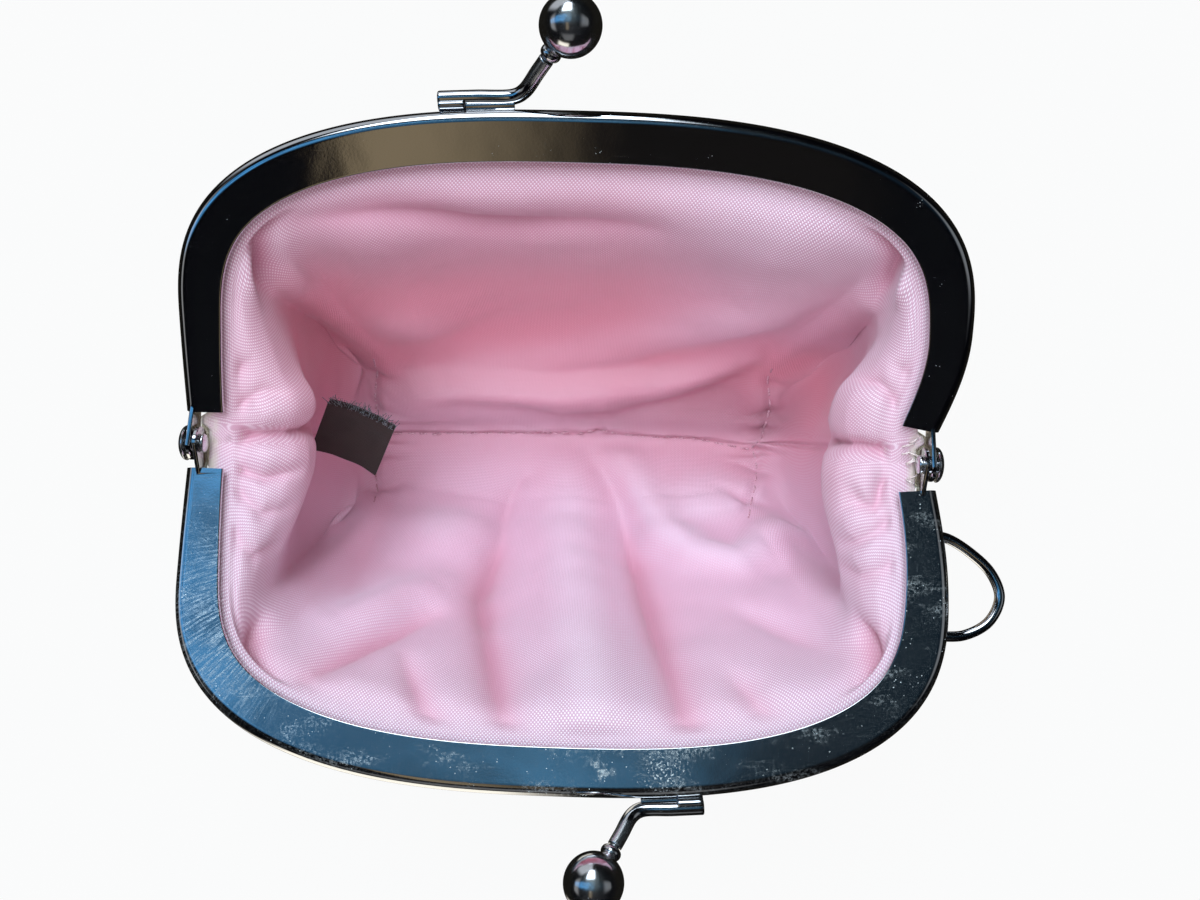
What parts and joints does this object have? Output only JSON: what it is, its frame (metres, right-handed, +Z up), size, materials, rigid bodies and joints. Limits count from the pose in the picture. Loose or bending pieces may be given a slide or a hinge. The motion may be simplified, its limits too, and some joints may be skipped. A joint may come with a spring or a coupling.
{
  "type": "kiss lock coin purse",
  "caption": "Small cloth coin purse with an arched nickel kiss lock frame, standing open on its base, with ball clasps, a wire strap loop, a pink lining and a bare label.",
  "frame": {"origin": "on the floor, on the purse's flat base, under the middle of the hinge line", "axes": "+X along the hinge towards the strap loop, +Y towards the back half of the frame, +Z up out of the open mouth"},
  "size_m": [0.1126, 0.1143, 0.0721],
  "materials": {
    "nickel": "mirror nickel plate with fine scratches",
    "lining_cloth": "pink plain weave with a satin sheen",
    "shell_cloth": "plain cream cotton",
    "label_cloth": "dark brown woven tape"
  },
  "bodies": {
    "root": {"frame_back": "nickel", "frame_front": "nickel", "clasp_ball_back": "nickel", "clasp_ball_front": "nickel", "hinge_rivet_left": "nickel", "hinge_rivet_right": "nickel", "strap_loop": "nickel", "lining": "lining_cloth", "outer_shell": "shell_cloth", "label": "label_cloth"}
  },
  "joints": []
}
